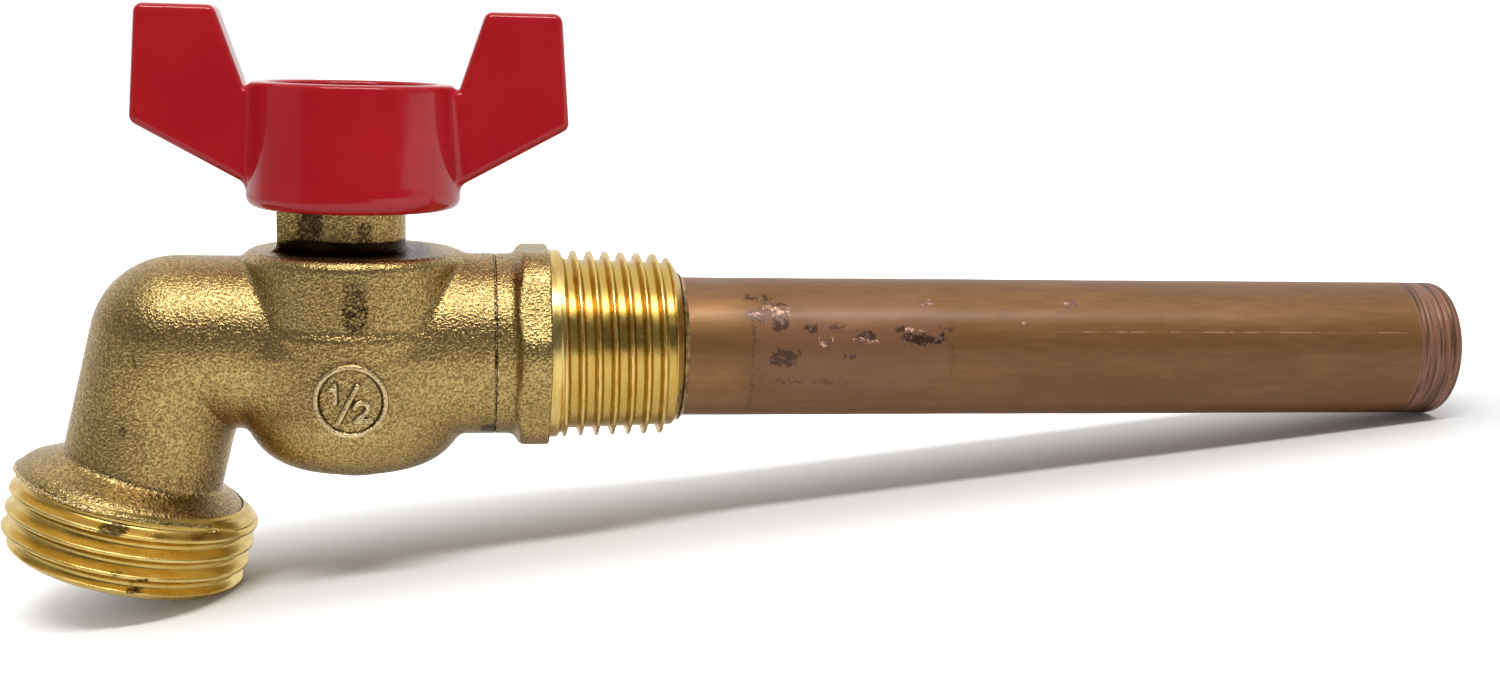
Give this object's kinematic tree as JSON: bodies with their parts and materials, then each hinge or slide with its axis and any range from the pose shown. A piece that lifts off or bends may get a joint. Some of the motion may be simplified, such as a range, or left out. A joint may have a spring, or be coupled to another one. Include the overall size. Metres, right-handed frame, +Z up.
{
  "type": "hose bibb",
  "caption": "Ball-valve hose bibb with a winged quarter-turn handle, a threaded hose outlet and a copper tube stub in its threaded inlet.",
  "frame": {"origin": "on the copper tube's axis, where the inlet thread meets the hexagon: the plane to which the fitting is screwed in", "axes": "+X along the copper tube, away from the valve; +Z up the stem, towards the handle; the hose outlet points down and slightly towards -X"},
  "size_m": [0.168, 0.027, 0.0645],
  "materials": {
    "forged_brass": "sand-blasted forging",
    "turned_brass": "bright turned",
    "copper": "tarnished drawn copper",
    "braze_metal": "dull, as brazed",
    "red_enamel": "glossy enamel",
    "steel": "zinc plated",
    "chrome": "polished",
    "ptfe": "smooth",
    "rubber": "smooth"
  },
  "bodies": {
    "valve": {"valve_body": "forged_brass", "inlet_adapter": "forged_brass", "copper_tube": "copper", "braze_joint": "braze_metal", "outlet_seat": "ptfe", "inlet_seat": "ptfe", "thrust_washer": "ptfe", "packing_ring_1": "ptfe", "packing_ring_2": "ptfe", "gland_nut": "turned_brass"},
    "turning_set": {"handle": "red_enamel", "lock_washer": "steel", "handle_nut": "steel", "stem": "turned_brass", "stem_o_ring": "rubber", "ball": "chrome"}
  },
  "joints": [
    {"name": "handle_turn", "type": "hinge", "parent": "valve", "child": "turning_set", "pos_m": [-0.0214, 0, 0], "axis": [0, 0, 1], "range_deg": [-90, 0]}
  ]
}
